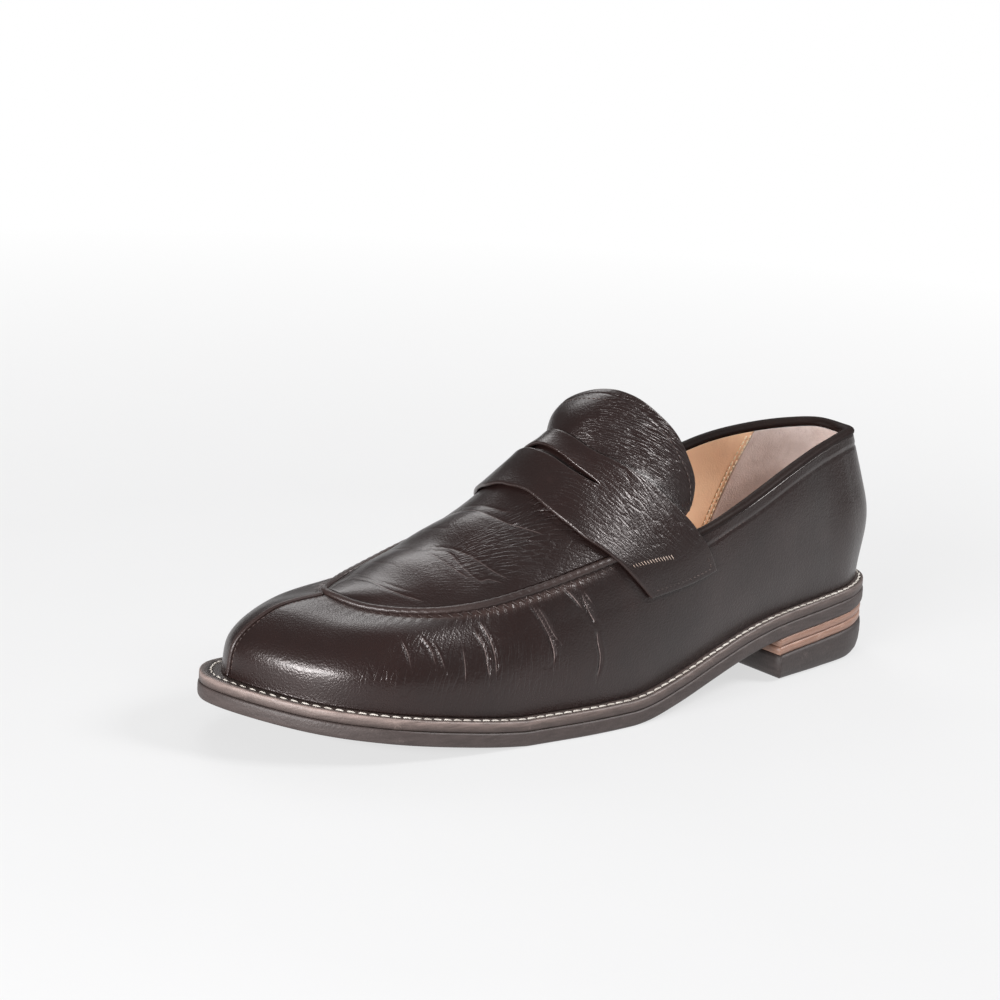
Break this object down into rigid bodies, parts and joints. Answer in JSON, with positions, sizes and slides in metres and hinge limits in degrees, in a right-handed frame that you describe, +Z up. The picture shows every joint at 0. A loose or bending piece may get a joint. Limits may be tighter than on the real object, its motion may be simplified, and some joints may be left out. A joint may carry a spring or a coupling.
{
  "type": "penny loafer",
  "caption": "Left dark brown leather penny loafer: split-toe apron front, slotted saddle strap, springy tongue flap, tan lining, stitched welt and stacked heel.",
  "frame": {"origin": "centre of the bounding box in plan, on the ground plane under the sole and heel", "axes": "toe towards -Y, heel towards +Y, outer (lateral) side of the left shoe towards +X, +Z up"},
  "size_m": [0.1022, 0.3066, 0.1187],
  "materials": {
    "upper_leather": "smooth aniline leather, soft gloss, fine creases",
    "lining_leather": "matt tan calf lining",
    "heel_suede": "napped pinkish beige suede",
    "stiffener": "matt resin-filled felt",
    "insole_board": "matt leather board",
    "rib_tape": "matt canvas",
    "cork": "matt granulated cork",
    "shank_steel": "plain spring steel",
    "welt_leather": "semi-matt, worn lighter at the edge",
    "welt_thread": "waxed off-white thread",
    "dark_thread": "brown thread",
    "outsole_rubber": "matt dark brown rubber",
    "stacked_leather": "burnished natural veg-tanned leather",
    "heel_rubber": "matt dark rubber"
  },
  "bodies": {
    "shoe": {"upper_side_lateral": "upper_leather", "upper_side_medial": "upper_leather", "apron": "upper_leather", "apron_seam": "upper_leather", "toe_seam": "upper_leather", "strap": "upper_leather", "topline_binding": "upper_leather", "quarter_lining_lateral": "lining_leather", "quarter_lining_medial": "lining_leather", "apron_lining": "lining_leather", "sock_liner": "lining_leather", "heel_lining": "heel_suede", "toe_puff": "stiffener", "heel_counter": "stiffener", "insole": "insole_board", "insole_rib": "rib_tape", "cork_filler": "cork", "shank": "shank_steel", "heel_nail_1": "shank_steel", "heel_nail_2": "shank_steel", "heel_nail_3": "shank_steel", "heel_nail_4": "shank_steel", "heel_nail_5": "shank_steel", "welt": "welt_leather", "welt_stitching": "welt_thread", "strap_stitching_lateral": "dark_thread", "strap_stitching_medial": "dark_thread", "outsole": "outsole_rubber", "heel_lift_upper": "stacked_leather", "heel_lift_lower": "stacked_leather", "top_lift": "heel_rubber"},
    "tongue_flap": {"tongue": "upper_leather", "tongue_lining": "lining_leather"}
  },
  "joints": [
    {"name": "tongue_hinge", "type": "hinge", "parent": "shoe", "child": "tongue_flap", "pos_m": [0.00017, -0.0036, 0.1015], "axis": [1, 0, 0], "range_deg": [-3, 30], "stiffness_Nm_per_rad": 0.1}
  ]
}
